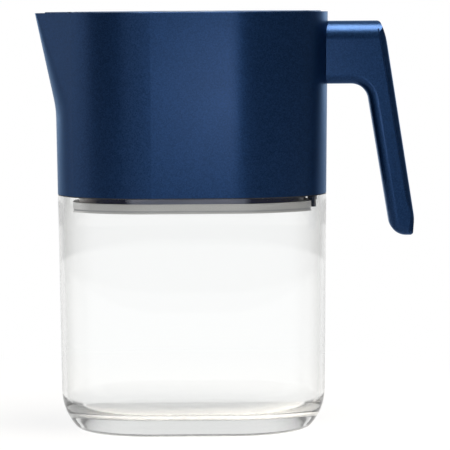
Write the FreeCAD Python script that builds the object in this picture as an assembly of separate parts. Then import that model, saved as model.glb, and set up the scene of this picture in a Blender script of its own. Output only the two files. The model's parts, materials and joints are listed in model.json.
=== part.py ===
import FreeCAD
import Part
import math
import os

Vector = FreeCAD.Vector

# Frame: +Z up, origin at the middle of the jug's flat base, spout towards -X, handle towards +X.
# All lengths are millimetres and all angles are degrees.

# Body: a stadium in plan, two half-round ends joined by flat sides, that widens a little upwards
rim_height = 269.4
seam_height = 152.8
seam_radius = 62.0
end_span = 24.85
wall_draft_share = 0.0125
sleeve_wall = 2.8

# Spout: a rounded nose that swells out of the spout end of the upper body
spout_reach = 12.3
spout_tip_radius = 11.5
spout_height = 61.4
spout_blend = 6.0
spout_level_shares = (-0.5, 0, 0.5, 1)

# Jug
jug_wall = 3.0
jug_base_thickness = 12.0
jug_floor_radius = 12.0
jug_flare_height = 13.2
jug_flare_run = 10.6
jug_side_radius = 34.0
jug_edge_radius = 8.0
neck_height = 14.0
neck_wall = 1.9
neck_taper_height = 20.0
neck_clearance = 0.1
gasket_thickness = 0.6
gasket_inset = 0.4

# Ledge on the inside of the upper body that the reservoir's flange rests on
ledge_drop = 19.4
ledge_thickness = 2.5
ledge_depth = 5.5
ledge_half_length = 35.0

# Handle: side outline in X and Z, from the bridge round to the bottom of the leg
handle_half_width = 12.5
handle_drop = 6.1
handle_bridge_height = 40.4
handle_length = 138.3
handle_corner_reach = 33.2
handle_shoulder_reach = 37.3
handle_shoulder_drop = 9.8
handle_heel_reach = 55.1
handle_heel_rise = 11.5
handle_toe_reach = 53.9
handle_palm_foot_reach = 40.3
handle_palm_top_reach = 24.4
handle_corner_radius = 2.5
handle_shoulder_radius = 55.0
handle_heel_radius = 25.0
handle_toe_radius = 2.2
handle_foot_radius = 11.0
handle_palm_radius = 11.5
handle_top_edge_radius = 12.0
handle_edge_radius = 6.0
handle_fit = 0.05

# Back cover of the handle: the seam runs down the leg just inside its outer edge
seam_corner_reach = 31.3
seam_knee_reach = 32.0
seam_knee_drop = 6.7
seam_calf_reach = 49.7
seam_calf_rise = 21.8
seam_heel_reach = 52.6
seam_heel_rise = 15.0
seam_toe_reach = 51.1
cover_gap = 0.03
groove_width = 0.7
groove_depth = 2.2
cover_edge_radius = 7.5
pocket_start = 12.0
pocket_length = 98.0
pocket_depth = 8.5
pocket_half_width = 8.5
tab_thickness = 2.0
tab_depth = 5.0
tab_clearance = 0.25
tab_place_shares = (0.08, 0.5, 0.92)

# Screws that hold the handle, put in from inside the upper body
screw_radius = 2.0
screw_length = 20.0
screw_head_radius = 4.0
screw_head_thickness = 2.0
screw_socket_radius = 1.25
screw_socket_depth = 1.2
screw_clearance = 0.15
screw_rises = (7.1, 19.6)
washer_thickness = 0.8
washer_radius = 4.4
spot_face_radius = 5.2
spot_face_depth = 0.25

# Reservoir: a wide tub over a narrower well, with a flange at the top
flange_thickness = 2.4
flange_clearance = 1.0
tub_gap = 8.2
tub_floor_rise = 12.2
tub_wall = 2.2
well_inset = 2.0
well_end_inset = 1.5
foot_gap = 7.0
foot_end_gap = 6.85
foot_drop = 4.1
foot_height = 6.1
foot_wall = 2.0
foot_plate = 2.0
foot_lip_height = 1.2
foot_lip_depth = 0.5
collar_wall = 1.8
collar_share = 0.48

# Vent plug in an ear beside the well, on the handle side
plug_offset = 1.2
plug_head_radius = 3.3
plug_stem_radius = 2.4
plug_rise = 2.4
plug_head_height = 2.2
plug_stem_height = 3.8
plug_neck_radius = 1.5
plug_notch_gap = 0.2
ear_thickness = 1.4
ear_half_width = 3.3

# Filter cartridge, pressed up into the collar from below, with a bore for the wand
filter_radius = 27.5
filter_wall = 1.6
filter_fit = 0.4
filter_neck_gap = 32.0
filter_flange_thickness = 1.8
filter_flange_rim = 3.2
filter_floor = 1.8
filter_screen_thickness = 0.8
filter_pad_thickness = 3.0
filter_cap_thickness = 3.0
filter_slot_count = 10
filter_slot_width = 2.4
filter_part_gap = 0.1
filter_seal_share = 0.26
filter_seal_section = 2.4
filter_seal_clearance = 0.1

# Lid
lid_proud = 0.6
lid_clearance = 1.4
lid_plate = 2.8
lid_skirt_wall = 2.0
lid_seal_rise = 5.1
lid_seal_height = 3.0
lid_seal_depth = 1.3
lid_seal_proud = 0.8
lid_edge_radius = 0.8

# Hinges of the fill door and the spout flap: the barrel's top is level with the lid
hinge_barrel_radius = 2.0
hinge_gap = 0.4
hinge_pin_radius = 0.8
hinge_pin_clearance = 0.05
hinge_pin_cover = 5.0

# Fill door, between the wand and the handle
door_hinge_margin = 10.1
door_front_margin = 5.0
door_half_width = 25.0
door_barrel_half_width = 14.0
door_gap = 0.4
door_corner_radius = 5.0
door_frame_thickness = 2.4
door_frame_width = 3.0
door_frame_rest = 3.0
door_seat_gap = 0.3
door_notch_radius = 9.0
door_notch_share = 0.45
door_seal_width = 1.4
door_seal_height = 1.0

# Spout flap, the nose of the lid
flap_nose_gap = 2.6
flap_barrel_half_width = 12.0
flap_thickness = 2.2
flap_side_gap = 0.3

# Purifier wand: its head sits in the lid and its tube passes through the filter
head_radius = 23.0
head_clearance = 0.4
head_seat_depth = 8.0
head_shelf = 2.5
head_socket_wall = 2.6
head_seal_thickness = 1.0
head_seal_width = 1.8
neck_radius = 20.0
neck_hole_clearance = 1.0
neck_length = 25.0
neck_floor = 2.5
neck_bore_radius = 16.5
board_bore_radius = 18.0
head_roof = 3.4
tube_radius = 14.5
tube_wall = 1.2
tube_insert = 6.0
wand_tip_rise = 1.8
wand_bore_gap = 1.2

# Light ring and button in the wand's head
light_ring_radius = 16.0
light_ring_wall = 2.9
light_ring_flange = 1.6
light_ring_flange_height = 1.6
button_gap = 0.4
button_flange_radius = 14.5
button_flange_height = 1.4
button_flange_gap = 0.2
button_travel = 1.2
button_stop_gap = 0.15
button_stem_radius = 2.0
button_dish_radius = 9.0
button_dish_depth = 0.5

# Circuit board and switch under the button
board_room = 10.2
board_thickness = 1.4
board_clearance = 0.2
switch_half_width = 3.0
switch_height = 2.6
switch_plunger_radius = 1.6
switch_plunger_height = 0.8

# Charge port in the neck of the wand, behind a small hinged flap
port_drop = 8.6
port_half_width = 4.5
port_half_height = 1.6
port_depth = 6.0
port_wall = 0.4
port_tongue_half_height = 0.35
port_clearance = 0.2
charge_board_thickness = 1.2
charge_board_half_width = 7.0
cap_half_width = 5.4
cap_thickness = 1.1
cap_recess = 0.8
cap_half_height = 4.2
cap_barrel_radius = 0.9
cap_groove_gap = 0.3
cap_gap = 0.25
cap_pin_radius = 0.4
cap_pin_cover = 1.4
cap_pin_clearance = 0.04

# Battery, lamp and window inside the wand's tube
battery_gap = 0.25
battery_tip_radius = 4.0
battery_tip_height = 1.5
ribbon_length = 29.9
ribbon_half_width = 3.0
ribbon_thickness = 0.6
sink_length = 10.0
sink_gap = 0.15
lamp_board_radius = 10.5
lamp_board_thickness = 1.6
lamp_half_width = 1.8
lamp_height = 0.8
end_cap_height = 7.0
end_cap_wall = 2.2
end_cap_floor = 1.4
window_aperture_radius = 9.0
window_thickness = 2.0
window_gap = 0.15
window_seal_height = 0.8
window_seal_width = 1.6

# Shared small values
overrun = 1.0
sink_in = 0.4
point_tolerance = 1e-6
pick_tolerance = 1e-3
quarter_turn = 90.0
half_turn = 180.0
full_turn = 360.0

origin = Vector(0, 0, 0)
up = Vector(0, 0, 1)


def body_radius(height):
    """Outer radius of the body's round ends, and half its depth, at a height."""
    return seam_radius + wall_draft_share * (height - seam_height)


# Heights and places that follow from the sizes above

rim_radius = body_radius(rim_height)
body_end_x = end_span + rim_radius
spout_foot_height = rim_height - spout_height
ledge_height = rim_height - ledge_drop
flange_top = ledge_height + flange_thickness
lid_top = rim_height + lid_proud
lid_inset = sleeve_wall + lid_clearance
lid_radius = rim_radius - lid_inset
lid_plate_bottom = lid_top - lid_plate
lid_seal_bottom = flange_top + lid_seal_rise

handle_top = rim_height - handle_drop
handle_under = handle_top - handle_bridge_height
handle_bottom = handle_top - handle_length
handle_corner_x = body_end_x + handle_corner_reach
handle_shoulder_x = body_end_x + handle_shoulder_reach
handle_shoulder_height = handle_top - handle_shoulder_drop
handle_heel_x = body_end_x + handle_heel_reach
handle_heel_height = handle_bottom + handle_heel_rise
handle_toe_x = body_end_x + handle_toe_reach
handle_palm_foot_x = body_end_x + handle_palm_foot_reach
handle_palm_top_x = body_end_x + handle_palm_top_reach
seam_corner_x = body_end_x + seam_corner_reach
seam_knee_x = body_end_x + seam_knee_reach
seam_knee_height = handle_top - seam_knee_drop
seam_calf_x = body_end_x + seam_calf_reach
seam_calf_height = handle_bottom + seam_calf_rise
seam_heel_x = body_end_x + seam_heel_reach
seam_heel_height = handle_bottom + seam_heel_rise
seam_toe_x = body_end_x + seam_toe_reach
seam_path = [
    (seam_corner_x, handle_top),
    (seam_knee_x, seam_knee_height),
    (seam_calf_x, seam_calf_height),
    (seam_heel_x, seam_heel_height),
    (seam_toe_x, handle_bottom),
]
screw_heights = [handle_under + rise for rise in screw_rises]

tub_radius = seam_radius - sleeve_wall - tub_gap
tub_floor_height = seam_height + tub_floor_rise
foot_top = seam_height - foot_drop
foot_bottom = foot_top - foot_height
foot_radius = seam_radius - jug_wall - foot_gap
foot_span = end_span + foot_gap - foot_end_gap
well_radius = foot_radius - well_inset
well_span = foot_span - well_end_inset
plug_x = foot_span + foot_radius + plug_offset
plug_head_top = foot_top + plug_rise
wand_bottom = foot_bottom + wand_tip_rise


def tub_radius_at(height):
    """Outer radius of the reservoir's tub, which widens upwards like the body."""
    return tub_radius + wall_draft_share * (height - tub_floor_height)


tub_end_x = end_span + tub_radius_at(ledge_height)
hinge_height = lid_top - hinge_barrel_radius
flap_hinge_x = hinge_barrel_radius / 2 - tub_end_x
flap_nose_x = lid_inset + flap_nose_gap - body_end_x - spout_reach
door_hinge_x = end_span + lid_radius - door_hinge_margin
door_front_x = head_radius + head_clearance + head_socket_wall + door_front_margin

head_seat = lid_top - head_seat_depth
head_bottom = head_seat + head_seal_thickness
neck_bottom = head_bottom - neck_length
roof_bottom = lid_top - head_roof
board_height = roof_bottom - board_room
port_height = board_height - port_drop
cap_outer_y = cap_recess - neck_radius
cap_hinge_height = port_height + cap_half_height
cap_bottom = port_height - cap_half_height

flange_face = foot_top - foot_plate
filter_bottom = flange_face - filter_flange_thickness
filter_top = neck_bottom - filter_neck_gap
filter_height = filter_top - filter_bottom
filter_seal_height = filter_bottom + filter_seal_share * filter_height
collar_top = filter_bottom + collar_share * filter_height


# Basic solids


def box(x_range, y_range, z_range):
    """A box between two values on each axis."""
    low = Vector(x_range[0], y_range[0], z_range[0])
    sizes = [axis[1] - axis[0] for axis in (x_range, y_range, z_range)]
    return Part.makeBox(sizes[0], sizes[1], sizes[2], low)


def cylinder(radius, z_range, x=0, y=0):
    """An upright cylinder."""
    return Part.makeCylinder(radius, z_range[1] - z_range[0], Vector(x, y, z_range[0]), up)


def ring(outer, inner, z_range):
    """An upright ring about the Z axis."""
    return cylinder(outer, z_range).cut(cylinder(inner, (z_range[0] - overrun, z_range[1] + overrun)))


def bar_y(radius, x, z, y_range):
    """A round bar along Y."""
    start = Vector(x, y_range[0], z)
    return Part.makeCylinder(radius, y_range[1] - y_range[0], start, Vector(0, 1, 0))


def bar_x(radius, y, z, x_range):
    """A round bar along X."""
    start = Vector(x_range[0], y, z)
    return Part.makeCylinder(radius, x_range[1] - x_range[0], start, Vector(1, 0, 0))


def rounded_face(corners):
    """A face in the XZ plane from corners (x, z, radius), each rounded by its own radius."""
    places = [Vector(x, 0, z) for x, z, radius in corners]
    count = len(corners)
    turns = []
    for index, here in enumerate(places):
        radius = corners[index][2]
        if radius == 0:
            turns.append((here, None, here))
            continue
        back = (places[index - 1] - here).normalize()
        ahead = (places[(index + 1) % count] - here).normalize()
        half_bend = (math.pi - back.getAngle(ahead)) / 2
        tangent = radius * math.tan(half_bend)
        inward = (back + ahead).normalize()
        middle = here + inward * (radius / math.cos(half_bend) - radius)
        turns.append((here + back * tangent, middle, here + ahead * tangent))
    edges = []
    for index, (start, middle, stop) in enumerate(turns):
        if middle is not None:
            edges.append(Part.Arc(start, middle, stop).toShape())
        following = turns[(index + 1) % count][0]
        if stop.distanceToPoint(following) > point_tolerance:
            edges.append(Part.makeLine(stop, following))
    return Part.Face(Part.Wire(edges))


def sharp_face(points):
    """A face in the XZ plane with sharp corners."""
    return rounded_face([(x, z, 0) for x, z in points])


def across(face, y_range):
    """A face of the XZ plane drawn out along Y."""
    moved = face.translated(Vector(0, y_range[0], 0))
    return moved.extrude(Vector(0, y_range[1] - y_range[0], 0))


def stadium(section, span):
    """A section, its radius along X and its height along Z, swept round a stadium."""
    near = section.copy()
    near.rotate(origin, up, -quarter_turn)
    far = section.copy()
    far.rotate(origin, up, quarter_turn)
    right = near.revolve(origin, up, half_turn)
    right.translate(Vector(span, 0, 0))
    left = far.revolve(origin, up, half_turn)
    left.translate(Vector(-span, 0, 0))
    run = Vector(2 * span, 0, 0)
    front = near.translated(Vector(-span, 0, 0)).extrude(run)
    back = far.translated(Vector(-span, 0, 0)).extrude(run)
    return right.multiFuse([front, left, back]).removeSplitter()


def stadium_block(radius_low, radius_high, z_range, span):
    """A solid stadium with a radius at its bottom and at its top."""
    points = [(0, z_range[0]), (radius_low, z_range[0]), (radius_high, z_range[1]), (0, z_range[1])]
    return stadium(sharp_face(points), span)


def stadium_ring(outer, inner, z_range, span):
    """An upright stadium ring."""
    points = [(inner, z_range[0]), (outer, z_range[0]), (outer, z_range[1]), (inner, z_range[1])]
    return stadium(sharp_face(points), span)


# Plan of the upper body: the stadium with the spout's nose


def spout_swell(height):
    """How far the spout's tip stands out past the round end at a height."""
    slope = spout_reach / (rim_height - spout_foot_height)
    rise = height - (spout_foot_height - spout_blend)
    if rise <= 0:
        return 0
    if rise < 2 * spout_blend:
        return slope * rise ** 2 / (4 * spout_blend)
    return slope * (height - spout_foot_height)


rim_gain = rim_radius - spout_tip_radius
spout_cosine = rim_gain / (rim_gain + spout_reach)
spout_angle = math.acos(spout_cosine)
spout_levels = [spout_foot_height + spout_blend * share for share in spout_level_shares]


def tip_circle(height, inset):
    """Centre and radius of the spout's tip circle at a height, drawn in by an inset."""
    swell = spout_swell(height)
    radius = body_radius(height) - swell * spout_cosine / (1 - spout_cosine)
    centre = radius - (end_span + body_radius(height) + swell)
    return centre, radius - inset


def tip_split_angle(inset):
    """Where the plain round end is split, in proportion to the spout's first level above it."""
    centre, radius = tip_circle(spout_levels[0], inset)
    line = (-end_span - centre) * math.sin(spout_angle)
    arc = radius * spout_angle
    return spout_angle * arc / (arc + line)


def end_point(centre, radius, angle, side, height):
    """A point on a spout-end circle, at an angle from -X, on the +Y or -Y side."""
    return Vector(centre - radius * math.cos(angle), side * radius * math.sin(angle), height)


def body_wire(height, inset):
    """Plan of the upper body at a height, drawn in by an inset, always with the same edges."""
    radius = body_radius(height) - inset
    right_angle = math.pi / 2
    right_front = Vector(end_span, -radius, height)
    right_tip = Vector(end_span + radius, 0, height)
    right_back = Vector(end_span, radius, height)
    middle_angle = math.pi / 4
    right_middle = radius * math.cos(middle_angle)
    right_near = Vector(end_span + right_middle, -right_middle, height)
    right_far = Vector(end_span + right_middle, right_middle, height)
    edges = [
        Part.Arc(right_front, right_near, right_tip).toShape(),
        Part.Arc(right_tip, right_far, right_back).toShape(),
        Part.makeLine(right_back, Vector(-end_span, radius, height)),
    ]
    plain = spout_swell(height) == 0
    split = tip_split_angle(inset) if plain else spout_angle
    centre, tip_radius = (-end_span, radius) if plain else tip_circle(height, inset)
    tip = end_point(centre, tip_radius, 0, 1, height)
    side_edges = {}
    for side in (1, -1):
        outer = end_point(-end_span, radius, right_angle, side, height)
        mid = end_point(-end_span, radius, (right_angle + spout_angle) / 2, side, height)
        join = end_point(-end_span, radius, spout_angle, side, height)
        turn = end_point(centre, tip_radius, split, side, height)
        tip_mid = end_point(centre, tip_radius, split / 2, side, height)
        if plain:
            flank_mid = end_point(-end_span, radius, (spout_angle + split) / 2, side, height)
            flank = Part.Arc(join, flank_mid, turn).toShape()
        else:
            flank = Part.makeLine(join, turn)
        shoulder = Part.Arc(outer, mid, join).toShape()
        nose = Part.Arc(turn, tip_mid, tip).toShape()
        side_edges[side] = [shoulder, flank, nose]
    edges += side_edges[1]
    edges += reversed(side_edges[-1])
    edges.append(Part.makeLine(Vector(-end_span, -radius, height), right_front))
    return Part.Wire(Part.sortEdges(edges)[0])


def body_block(inset, low, high):
    """The upper body's shape as a solid between two heights, drawn in by an inset."""
    heights = [low, spout_foot_height - spout_blend] + spout_levels + [high]
    return Part.makeLoft([body_wire(height, inset) for height in heights], True, True)


def lid_block(inset, z_range):
    """A straight block with the plan of the rim, drawn in by an inset."""
    face = Part.Face(body_wire(rim_height, inset))
    moved = face.translated(Vector(0, 0, z_range[0] - rim_height))
    return moved.extrude(Vector(0, 0, z_range[1] - z_range[0]))


def lid_plate_block(inset, z_range):
    """The same block with its top edge rounded."""
    solid = lid_block(inset, z_range)
    rim = [edge for edge in solid.Edges
           if all(abs(vertex.Z - z_range[1]) < pick_tolerance for vertex in edge.Vertexes)]
    return solid.makeFillet(lid_edge_radius, rim)


# Pitcher body


def make_jug():
    """Clear jug with a thick base and a stepped neck that goes up inside the upper body."""
    shoulder = seam_height - gasket_thickness
    neck_outer = seam_radius - sleeve_wall - neck_clearance
    neck_inner = neck_outer - neck_wall
    neck_top = seam_height + neck_height
    taper_foot = shoulder - neck_taper_height
    flare_radius = body_radius(jug_flare_height)
    floor_radius = body_radius(jug_base_thickness) - jug_wall
    corners = [
        (0, 0, 0),
        (flare_radius - jug_flare_run, 0, jug_edge_radius),
        (flare_radius, jug_flare_height, jug_side_radius),
        (body_radius(shoulder), shoulder, 0),
        (neck_outer, shoulder, 0),
        (neck_outer, neck_top, 0),
        (neck_inner, neck_top, 0),
        (neck_inner, shoulder - jug_wall, 0),
        (body_radius(taper_foot) - jug_wall, taper_foot, 0),
        (floor_radius, jug_base_thickness, jug_floor_radius),
        (0, jug_base_thickness, 0),
    ]
    return stadium(rounded_face(corners), end_span)


def make_joint_gasket():
    """Thin dark gasket between the jug's shoulder and the upper body."""
    inner = seam_radius - sleeve_wall
    outer = seam_radius - gasket_inset
    return stadium_ring(outer, inner, (seam_height - gasket_thickness, seam_height), end_span)


def screw_seat_x(height):
    """X of the flat seat under a handle screw's washer, inside the upper body."""
    return end_span + body_radius(height) - sleeve_wall + spot_face_depth


def make_upper_body():
    """Upper body with the spout, the reservoir's ledge and the handle's screw holes."""
    shell = body_block(0, seam_height, rim_height)
    shell = shell.cut(body_block(sleeve_wall, seam_height - overrun, rim_height + overrun))
    inner = body_radius(ledge_height) - sleeve_wall
    ledge_z = (ledge_height - ledge_thickness, ledge_height)
    ledge_x = (-ledge_half_length, ledge_half_length)
    for side in (1, -1):
        reach = sorted((side * (inner - ledge_depth), side * (inner + sink_in)))
        shell = shell.fuse(box(ledge_x, reach, ledge_z))
    for height in screw_heights:
        seat = screw_seat_x(height)
        shell = shell.cut(bar_x(spot_face_radius, 0, height, (seat - sleeve_wall, seat)))
        hole = screw_radius + screw_clearance
        shell = shell.cut(bar_x(hole, 0, height, (seat - overrun, seat + sleeve_wall + overrun)))
    return shell.removeSplitter()


def handle_blank(corners, bottom_radius):
    """The handle's outline drawn out to its width, with the top edges rounded along the bridge."""
    solid = across(rounded_face(corners), (-handle_half_width, handle_half_width))
    frame = [
        (-handle_half_width, handle_bottom, bottom_radius),
        (handle_half_width, handle_bottom, bottom_radius),
        (handle_half_width, handle_top, handle_top_edge_radius),
        (-handle_half_width, handle_top, handle_top_edge_radius),
    ]
    section = rounded_face(frame)
    section.rotate(origin, up, quarter_turn)
    return solid.common(section.extrude(Vector(handle_heel_x + handle_half_width, 0, 0)))


def seam_groove():
    """A groove on both sides along the front edge of the back cover, which shows as a dark line at the seam."""
    points = list(seam_path)
    points += [(x + cover_gap + groove_width, z) for x, z in reversed(seam_path)]
    groove_foot = handle_half_width - groove_depth
    reach = handle_half_width + overrun
    near = across(sharp_face(points), (-reach, -groove_foot))
    return near.fuse(across(sharp_face(points), (groove_foot, reach)))


def pocket_face(start, length, depth, lift):
    """A face along the handle's seam, from a start down the seam, sunk to a depth."""
    knee = Vector(seam_knee_x, 0, seam_knee_height)
    calf = Vector(seam_calf_x, 0, seam_calf_height)
    down = (calf - knee).normalize()
    inward = Vector(down.z, 0, -down.x)
    first = knee + down * start
    last = knee + down * (start + length)
    points = [first - inward * lift, last - inward * lift, last + inward * depth, first + inward * depth]
    return sharp_face([(point.x, point.z) for point in points])


def make_handle_body():
    """Handle with its bridge and leg in one, a pocket behind the seam and two screw holes."""
    root_x = end_span
    corners = [(root_x, handle_top, 0)]
    corners += [(x, z, 0) for x, z in seam_path]
    corners += [
        (handle_palm_foot_x, handle_bottom, handle_foot_radius),
        (handle_palm_top_x, handle_under, handle_palm_radius),
        (root_x, handle_under, 0),
    ]
    solid = handle_blank(corners, 0)
    seam_line = Part.makePolygon([Vector(x, 0, z) for x, z in seam_path])
    palm = [edge for edge in solid.Edges if is_palm_edge(edge, seam_line)]
    solid = solid.makeFillet(handle_edge_radius, palm)
    pocket = pocket_face(pocket_start, pocket_length, pocket_depth, overrun)
    solid = solid.cut(across(pocket, (-pocket_half_width, pocket_half_width)))
    for height in screw_heights:
        seat = screw_seat_x(height)
        hole = bar_x(screw_radius + handle_fit, 0, height, (seat, seat + screw_length + overrun))
        solid = solid.cut(hole)
    return solid.cut(body_block(-handle_fit, seam_height, rim_height))


def is_palm_edge(edge, seam_line):
    """Whether an edge runs along the side of the palm: bridge underside, leg and foot."""
    middle = edge.valueAt((edge.FirstParameter + edge.LastParameter) / 2)
    places = [vertex.Point for vertex in edge.Vertexes] + [middle]
    on_side = all(abs(abs(place.y) - handle_half_width) < pick_tolerance for place in places)
    flat = Part.Vertex(middle.x, 0, middle.z)
    off_seam = flat.distToShape(seam_line)[0] > pick_tolerance
    return on_side and off_seam and middle.z < handle_under + pick_tolerance


def leg_slab():
    """A long slab in line with the leg, its outer edges rounded, that rounds the back cover."""
    fall = handle_shoulder_height - handle_heel_height
    lean = math.degrees(math.atan2(handle_heel_x - handle_shoulder_x, fall))
    corners = [
        (-handle_heel_x, -handle_half_width, 0),
        (0, -handle_half_width, cover_edge_radius),
        (0, handle_half_width, cover_edge_radius),
        (-handle_heel_x, handle_half_width, 0),
    ]
    face = rounded_face(corners)
    face.rotate(origin, Vector(1, 0, 0), -quarter_turn)
    face.translate(Vector(0, 0, -handle_top))
    slab = face.extrude(Vector(0, 0, 2 * handle_top))
    slab.rotate(origin, Vector(0, 1, 0), -lean)
    return slab.translated(Vector(handle_shoulder_x, 0, handle_shoulder_height))


def make_handle_back_cover():
    """Thin cover on the back of the leg, with tabs that reach into the handle's pocket."""
    corners = [
        (handle_corner_x, handle_top, handle_corner_radius),
        (handle_shoulder_x, handle_shoulder_height, handle_shoulder_radius),
        (handle_heel_x, handle_heel_height, handle_heel_radius),
        (handle_toe_x, handle_bottom, handle_toe_radius),
    ]
    corners += [(x + cover_gap, z, 0) for x, z in reversed(seam_path)]
    solid = handle_blank(corners, handle_edge_radius).common(leg_slab())
    solid = solid.cut(seam_groove())
    reach = pocket_half_width - tab_clearance
    for share in tab_place_shares:
        start = pocket_start + share * (pocket_length - tab_thickness)
        tab = pocket_face(start, tab_thickness, tab_depth, cover_gap + sink_in)
        solid = solid.fuse(across(tab, (-reach, reach)))
    return solid.removeSplitter()


def make_handle_screws():
    """Two socket-headed screws through the upper body's wall into the handle's bridge."""
    screws = []
    for height in screw_heights:
        seat = screw_seat_x(height) - washer_thickness
        head_end = seat - screw_head_thickness
        head = bar_x(screw_head_radius, 0, height, (head_end, seat))
        shank = bar_x(screw_radius, 0, height, (seat, seat + screw_length))
        socket_x = (head_end - overrun, head_end + screw_socket_depth)
        socket = bar_x(screw_socket_radius, 0, height, socket_x)
        screws.append(head.fuse(shank).cut(socket))
    return Part.makeCompound(screws)


def make_screw_washers():
    """Sealing washers under the two screw heads."""
    washers = []
    for height in screw_heights:
        seat = screw_seat_x(height)
        disc = bar_x(washer_radius, 0, height, (seat - washer_thickness, seat))
        hole = bar_x(screw_radius + screw_clearance, 0, height, (seat - screw_length, seat + overrun))
        washers.append(disc.cut(hole))
    return Part.makeCompound(washers)


# Reservoir

filter_hole_radius = filter_radius + filter_fit
plug_top = plug_head_top + ear_thickness


def make_reservoir():
    """Dark tub with a narrower well, a flange on top, a collar for the filter and the plug's ear."""
    tub_z = (tub_floor_height, flange_top)
    well_z = (foot_top, tub_floor_height + tub_wall)
    top_radius = tub_radius_at(flange_top)
    outer = stadium_block(tub_radius, top_radius, tub_z, end_span)
    outer = outer.fuse(stadium_block(well_radius, well_radius, well_z, well_span))
    flange_radius = body_radius(ledge_height) - sleeve_wall - flange_clearance
    flange = stadium_block(flange_radius, flange_radius, (ledge_height, flange_top), end_span)
    pour_side = (-end_span - flange_radius - overrun, tub_wall / 2 - tub_end_x)
    flange_y = (-flange_radius - overrun, flange_radius + overrun)
    flange = flange.cut(box(pour_side, flange_y, (ledge_height - overrun, flange_top + overrun)))
    outer = outer.fuse(flange)
    inner_z = (tub_floor_height + tub_wall, flange_top + overrun)
    inner = stadium_block(tub_radius - tub_wall, top_radius - tub_wall, inner_z, end_span)
    well_inner = well_radius - tub_wall
    well_room = (foot_top + tub_wall, tub_floor_height + tub_wall + sink_in)
    inner = inner.fuse(stadium_block(well_inner, well_inner, well_room, well_span))
    solid = outer.cut(inner)
    collar_z = (foot_top + tub_wall - sink_in, collar_top)
    solid = solid.fuse(cylinder(filter_hole_radius + collar_wall, collar_z))
    solid = solid.cut(cylinder(filter_hole_radius, (foot_top - overrun, collar_z[1] + overrun)))
    well_end = well_span + well_radius
    ear_y = (-ear_half_width, ear_half_width)
    ear = box((well_end - tub_wall + sink_in, plug_x), ear_y, (plug_head_top, plug_top))
    ear = ear.fuse(cylinder(ear_half_width, (plug_head_top, plug_top), plug_x))
    ear = ear.cut(cylinder(plug_neck_radius, (plug_head_top - overrun, plug_top + overrun), plug_x))
    return solid.fuse(ear).removeSplitter()


def make_reservoir_base():
    """Pale foot under the reservoir: a plate with a skirt, a lower lip and the filter's hole."""
    outer = stadium_block(foot_radius, foot_radius, (foot_bottom, foot_top), foot_span)
    inner_radius = foot_radius - foot_wall
    room = (foot_bottom - overrun, foot_top - foot_plate)
    solid = outer.cut(stadium_block(inner_radius, inner_radius, room, foot_span))
    lip_inner = foot_radius - foot_lip_depth
    lip_z = (foot_bottom + foot_lip_height, foot_bottom + 2 * foot_lip_height)
    groove = stadium_ring(foot_radius + overrun, lip_inner, lip_z, foot_span)
    solid = solid.cut(groove)
    notch_z = (foot_bottom - overrun, foot_top + overrun)
    solid = solid.cut(cylinder(plug_stem_radius + plug_notch_gap, notch_z, plug_x))
    return solid.cut(cylinder(filter_hole_radius, notch_z))


def make_vent_plug():
    """Stepped rubber plug that hangs from the reservoir's ear."""
    head_bottom = plug_head_top - plug_head_height
    head = cylinder(plug_head_radius, (head_bottom, plug_head_top), plug_x)
    stem = cylinder(plug_stem_radius, (head_bottom - plug_stem_height, head_bottom), plug_x)
    neck = cylinder(plug_neck_radius, (plug_head_top, plug_top), plug_x)
    return head.fuse([stem, neck]).removeSplitter()


# Filter cartridge

wand_bore_radius = tube_radius + wand_bore_gap
filter_core_radius = wand_bore_radius + filter_wall
filter_room_radius = filter_radius - filter_wall
filter_floor_top = filter_bottom + filter_floor
screen_top = filter_floor_top + filter_screen_thickness
pad_top = filter_top - filter_cap_thickness
media_top = pad_top - filter_pad_thickness


def slot_cutter(z_range, inner, outer):
    """Radial slots, evenly spaced round the wand's axis."""
    slots = []
    for index in range(filter_slot_count):
        half = filter_slot_width / 2
        slot = box((inner, outer), (-half, half), z_range)
        slot.rotate(origin, up, index * full_turn / filter_slot_count)
        slots.append(slot)
    return Part.makeCompound(slots)


def make_filter_shell():
    """Cartridge shell: outer wall, bored core, slotted floor and the flange that stops it."""
    flange_z = (filter_bottom, flange_face)
    shell = cylinder(filter_radius, (filter_bottom, pad_top))
    shell = shell.fuse(cylinder(filter_radius + filter_flange_rim, flange_z))
    room = ring(filter_room_radius, filter_core_radius, (filter_floor_top, pad_top + overrun))
    shell = shell.cut(room)
    shell = shell.cut(cylinder(wand_bore_radius, (filter_bottom - overrun, pad_top + overrun)))
    groove_z = (filter_seal_height, filter_seal_height + filter_seal_section)
    groove_floor = filter_hole_radius - filter_seal_clearance - filter_seal_section / 2
    shell = shell.cut(ring(filter_radius + overrun, groove_floor, groove_z))
    slots = slot_cutter((filter_bottom - overrun, filter_floor_top + sink_in),
                        filter_core_radius + filter_wall, filter_room_radius - filter_wall)
    return shell.cut(slots)


def make_filter_cap():
    """Slotted cap on top of the cartridge."""
    cap = ring(filter_radius, wand_bore_radius, (pad_top, filter_top))
    slots = slot_cutter((pad_top - overrun, filter_top + overrun),
                        filter_core_radius + filter_wall, filter_room_radius - filter_wall)
    return cap.cut(slots)


def filter_layer(z_range):
    """A ring that fills the cartridge between its core and its wall."""
    return ring(filter_room_radius - filter_part_gap, filter_core_radius + filter_part_gap, z_range)


def make_filter_seal():
    """Ring seal between the cartridge and the reservoir's collar."""
    seal_z = (filter_seal_height, filter_seal_height + filter_seal_section)
    outer = filter_hole_radius - filter_seal_clearance
    return ring(outer, outer - filter_seal_section / 2, seal_z)


# Lid, fill door and spout flap


def hinge_knuckle(x, y_range):
    """A round hinge barrel along Y, level with the top of the lid."""
    return bar_y(hinge_barrel_radius, x, hinge_height, y_range)


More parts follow.
